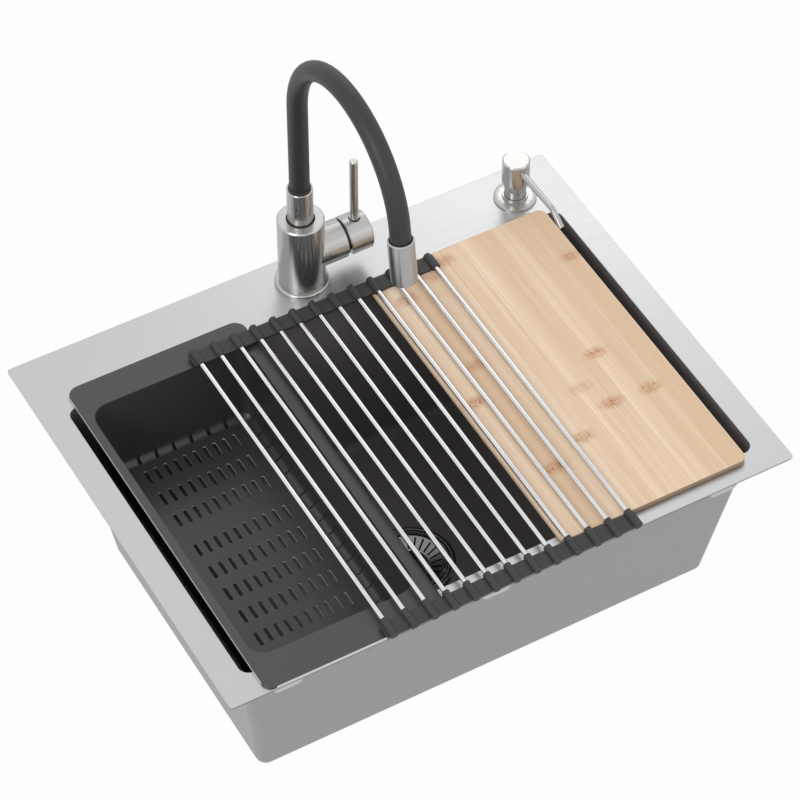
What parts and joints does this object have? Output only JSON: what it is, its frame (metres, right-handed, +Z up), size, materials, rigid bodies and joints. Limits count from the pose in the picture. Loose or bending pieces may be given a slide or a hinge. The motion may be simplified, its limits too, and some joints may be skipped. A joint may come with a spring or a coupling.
{
  "type": "workstation kitchen sink",
  "caption": "Drop-in steel workstation sink with a hose-spout faucet, soap pump, basket strainer, sliding colander, bamboo board and roll-up rod rack.",
  "frame": {"origin": "centre of the rim's outline, in the plane of the worktop that the seal lies on", "axes": "+X to the right along the front, +Y to the back deck, +Z up"},
  "size_m": [0.711, 0.5575, 0.7395],
  "materials": {
    "deck_steel": "fine grain, satin",
    "bowl_steel": "fine grain, satin",
    "seal_foam": "matt",
    "clip_steel": "satin",
    "drain_steel": "polished satin",
    "black_rubber": "matt",
    "nut_metal": "satin",
    "white_plastic": "matt",
    "tap_nickel": "brushed nickel",
    "black_plastic": "matt",
    "hose_silicone": "smooth satin",
    "shank_brass": "turned",
    "colander_steel": "dark satin",
    "bamboo": "oiled, vertical grain",
    "rod_steel": "polished satin",
    "link_silicone": "matt"
  },
  "bodies": {
    "base": {"sink_deck": "deck_steel", "sink_bowl": "bowl_steel", "rim_gasket": "seal_foam", "rim_brackets": "clip_steel", "strainer_body": "drain_steel", "drain_gasket": "black_rubber", "drain_locknut": "nut_metal", "drain_slip_nut": "white_plastic", "drain_tailpiece": "white_plastic", "faucet_base_ring": "tap_nickel", "faucet_body": "tap_nickel", "faucet_shank": "shank_brass", "faucet_washer": "nut_metal", "faucet_nut": "shank_brass", "soap_flange": "tap_nickel", "soap_bottle": "white_plastic", "soap_nut": "white_plastic"},
    "basket": {"strainer_basket": "drain_steel"},
    "stopper": {"basket_post": "drain_steel", "stopper_seal": "black_rubber"},
    "spout": {"spout_collar": "tap_nickel", "hose_ferrule": "black_plastic", "spout_hose": "hose_silicone", "spray_nozzle": "tap_nickel", "aerator": "black_plastic"},
    "valve": {"valve_cartridge": "black_plastic"},
    "lever": {"lever_cap": "tap_nickel", "lever_rod": "tap_nickel"},
    "pump": {"soap_pump_tube": "white_plastic"},
    "pump_plunger": {"soap_plunger": "tap_nickel"},
    "pump_head": {"soap_head": "tap_nickel", "soap_spout": "tap_nickel"},
    "colander": {"colander": "colander_steel"},
    "board": {"cutting_board": "bamboo"},
    "rack_13": {"rack_rod_13": "rod_steel", "rack_end_13": "link_silicone"},
    "rack_12": {"rack_rod_12": "rod_steel", "rack_end_12": "link_silicone"},
    "rack_11": {"rack_rod_11": "rod_steel", "rack_end_11": "link_silicone"},
    "rack_10": {"rack_rod_10": "rod_steel", "rack_end_10": "link_silicone"},
    "rack_09": {"rack_rod_09": "rod_steel", "rack_end_09": "link_silicone"},
    "rack_08": {"rack_rod_08": "rod_steel", "rack_end_08": "link_silicone"},
    "rack_07": {"rack_rod_07": "rod_steel", "rack_end_07": "link_silicone"},
    "rack_06": {"rack_rod_06": "rod_steel", "rack_end_06": "link_silicone"},
    "rack_05": {"rack_rod_05": "rod_steel", "rack_end_05": "link_silicone"},
    "rack_04": {"rack_rod_04": "rod_steel", "rack_end_04": "link_silicone"},
    "rack_03": {"rack_rod_03": "rod_steel", "rack_end_03": "link_silicone"},
    "rack_02": {"rack_rod_02": "rod_steel", "rack_end_02": "link_silicone"},
    "rack_01": {"rack_rod_01": "rod_steel", "rack_end_01": "link_silicone"}
  },
  "joints": [
    {"name": "basket_lift", "type": "slide", "parent": "base", "child": "basket", "axis": [0, 0, 1], "range_m": [0, 0.04]},
    {"name": "stopper_lift", "type": "slide", "parent": "basket", "child": "stopper", "axis": [0, 0, 1], "range_m": [0, 0.008]},
    {"name": "spout_swivel", "type": "hinge", "parent": "base", "child": "spout", "pos_m": [0.005, 0.232, 0.15], "axis": [0, 0, 1], "range_deg": [-120, 120]},
    {"name": "lever_turn", "type": "hinge", "parent": "base", "child": "valve", "pos_m": [0.055, 0.232, 0.0502], "axis": [1, 0, 0], "range_deg": [-45, 15]},
    {"name": "lever_tilt", "type": "hinge", "parent": "valve", "child": "lever", "pos_m": [0.067, 0.232, 0.0502], "axis": [0, 1, 0], "range_deg": [0, 15]},
    {"name": "pump_lift", "type": "slide", "parent": "base", "child": "pump", "axis": [0, 0, 1], "range_m": [0, 0.03]},
    {"name": "pump_press", "type": "slide", "parent": "pump", "child": "pump_plunger", "axis": [0, 0, -1], "range_m": [0, 0.01], "stiffness_N_per_m": 500, "springref_m": -0.012},
    {"name": "pump_swivel", "type": "hinge", "parent": "pump_plunger", "child": "pump_head", "pos_m": [0.2904, 0.2275, 0.03], "axis": [0, 0, 1], "range_deg": [-120, 120]},
    {"name": "colander_slide", "type": "slide", "parent": "base", "child": "colander", "axis": [1, 0, 0], "range_m": [-0.01, 0.075]},
    {"name": "board_slide", "type": "slide", "parent": "base", "child": "board", "axis": [1, 0, 0], "range_m": [-0.075, 0.015]},
    {"name": "rack_slide", "type": "slide", "parent": "base", "child": "rack_13", "axis": [1, 0, 0], "range_m": [-0.15, 0.03]},
    {"name": "rack_link_01", "type": "hinge", "parent": "rack_13", "child": "rack_12", "pos_m": [0.1329, 0, 0.0136], "axis": [0, 1, 0], "range_deg": [0, 4.3]},
    {"name": "rack_link_02", "type": "hinge", "parent": "rack_12", "child": "rack_11", "pos_m": [0.1073, 0, 0.0136], "axis": [0, 1, 0], "range_deg": [0, 8.4]},
    {"name": "rack_link_03", "type": "hinge", "parent": "rack_11", "child": "rack_10", "pos_m": [0.0817, 0, 0.0136], "axis": [0, 1, 0], "range_deg": [0, 12.6]},
    {"name": "rack_link_04", "type": "hinge", "parent": "rack_10", "child": "rack_09", "pos_m": [0.0561, 0, 0.0136], "axis": [0, 1, 0], "range_deg": [0, 16.8]},
    {"name": "rack_link_05", "type": "hinge", "parent": "rack_09", "child": "rack_08", "pos_m": [0.0305, 0, 0.0136], "axis": [0, 1, 0], "range_deg": [0, 20.9]},
    {"name": "rack_link_06", "type": "hinge", "parent": "rack_08", "child": "rack_07", "pos_m": [0.0049, 0, 0.0136], "axis": [0, 1, 0], "range_deg": [0, 25.1]},
    {"name": "rack_link_07", "type": "hinge", "parent": "rack_07", "child": "rack_06", "pos_m": [-0.0207, 0, 0.0136], "axis": [0, 1, 0], "range_deg": [0, 29.3]},
    {"name": "rack_link_08", "type": "hinge", "parent": "rack_06", "child": "rack_05", "pos_m": [-0.0463, 0, 0.0136], "axis": [0, 1, 0], "range_deg": [0, 33.4]},
    {"name": "rack_link_09", "type": "hinge", "parent": "rack_05", "child": "rack_04", "pos_m": [-0.0719, 0, 0.0136], "axis": [0, 1, 0], "range_deg": [0, 37.6]},
    {"name": "rack_link_10", "type": "hinge", "parent": "rack_04", "child": "rack_03", "pos_m": [-0.0975, 0, 0.0136], "axis": [0, 1, 0], "range_deg": [0, 41.8]},
    {"name": "rack_link_11", "type": "hinge", "parent": "rack_03", "child": "rack_02", "pos_m": [-0.1231, 0, 0.0136], "axis": [0, 1, 0], "range_deg": [0, 45.9]},
    {"name": "rack_roll", "type": "hinge", "parent": "rack_02", "child": "rack_01", "pos_m": [-0.1487, 0, 0.0136], "axis": [0, 1, 0], "range_deg": [0, 50]}
  ],
  "couplings": [
    {"joint": "rack_link_01", "follows": "rack_roll", "ratio": 0.083333},
    {"joint": "rack_link_02", "follows": "rack_roll", "ratio": 0.16667},
    {"joint": "rack_link_03", "follows": "rack_roll", "ratio": 0.25},
    {"joint": "rack_link_04", "follows": "rack_roll", "ratio": 0.33333},
    {"joint": "rack_link_05", "follows": "rack_roll", "ratio": 0.41667},
    {"joint": "rack_link_06", "follows": "rack_roll", "ratio": 0.5},
    {"joint": "rack_link_07", "follows": "rack_roll", "ratio": 0.58333},
    {"joint": "rack_link_08", "follows": "rack_roll", "ratio": 0.66667},
    {"joint": "rack_link_09", "follows": "rack_roll", "ratio": 0.75},
    {"joint": "rack_link_10", "follows": "rack_roll", "ratio": 0.83333},
    {"joint": "rack_link_11", "follows": "rack_roll", "ratio": 0.91667}
  ]
}
